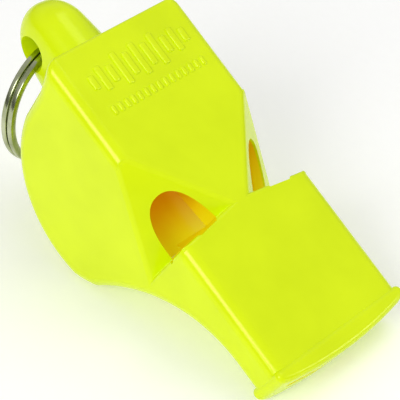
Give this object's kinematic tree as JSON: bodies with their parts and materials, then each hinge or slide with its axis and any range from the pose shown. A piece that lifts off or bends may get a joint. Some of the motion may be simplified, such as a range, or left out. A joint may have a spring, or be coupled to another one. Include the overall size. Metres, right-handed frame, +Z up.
{
  "type": "training whistle",
  "caption": "Pealess training whistle in welded plastic mouldings, with a flat top, round belly, corner windows, a bite lip and a split ring hanging from the rear lug.",
  "frame": {"origin": "centre of the footprint at table level, with the whistle lying on its belly and its lip", "axes": "+X towards the mouthpiece, +Z up from the table, +Y across the whistle; the flat top slopes down towards +X"},
  "size_m": [0.0546, 0.023, 0.0306],
  "materials": {
    "body_plastic": "glossy fluorescent yellow-green ABS",
    "belly_plastic": "glossy fluorescent yellow-green ABS",
    "core_plastic": "the same plastic, warmer where it glows inside the chambers",
    "ring_metal": "bright nickel-plated spring steel"
  },
  "bodies": {
    "whistle": {"body_moulding": "body_plastic", "belly_moulding": "belly_plastic", "windway_core": "core_plastic"},
    "ring": {"split_ring": "ring_metal"}
  },
  "joints": [
    {"name": "ring_swing", "type": "hinge", "parent": "whistle", "child": "ring", "pos_m": [-0.02334, 0, 0.02315], "axis": [0, 1, 0], "range_deg": [-20, 227]}
  ]
}
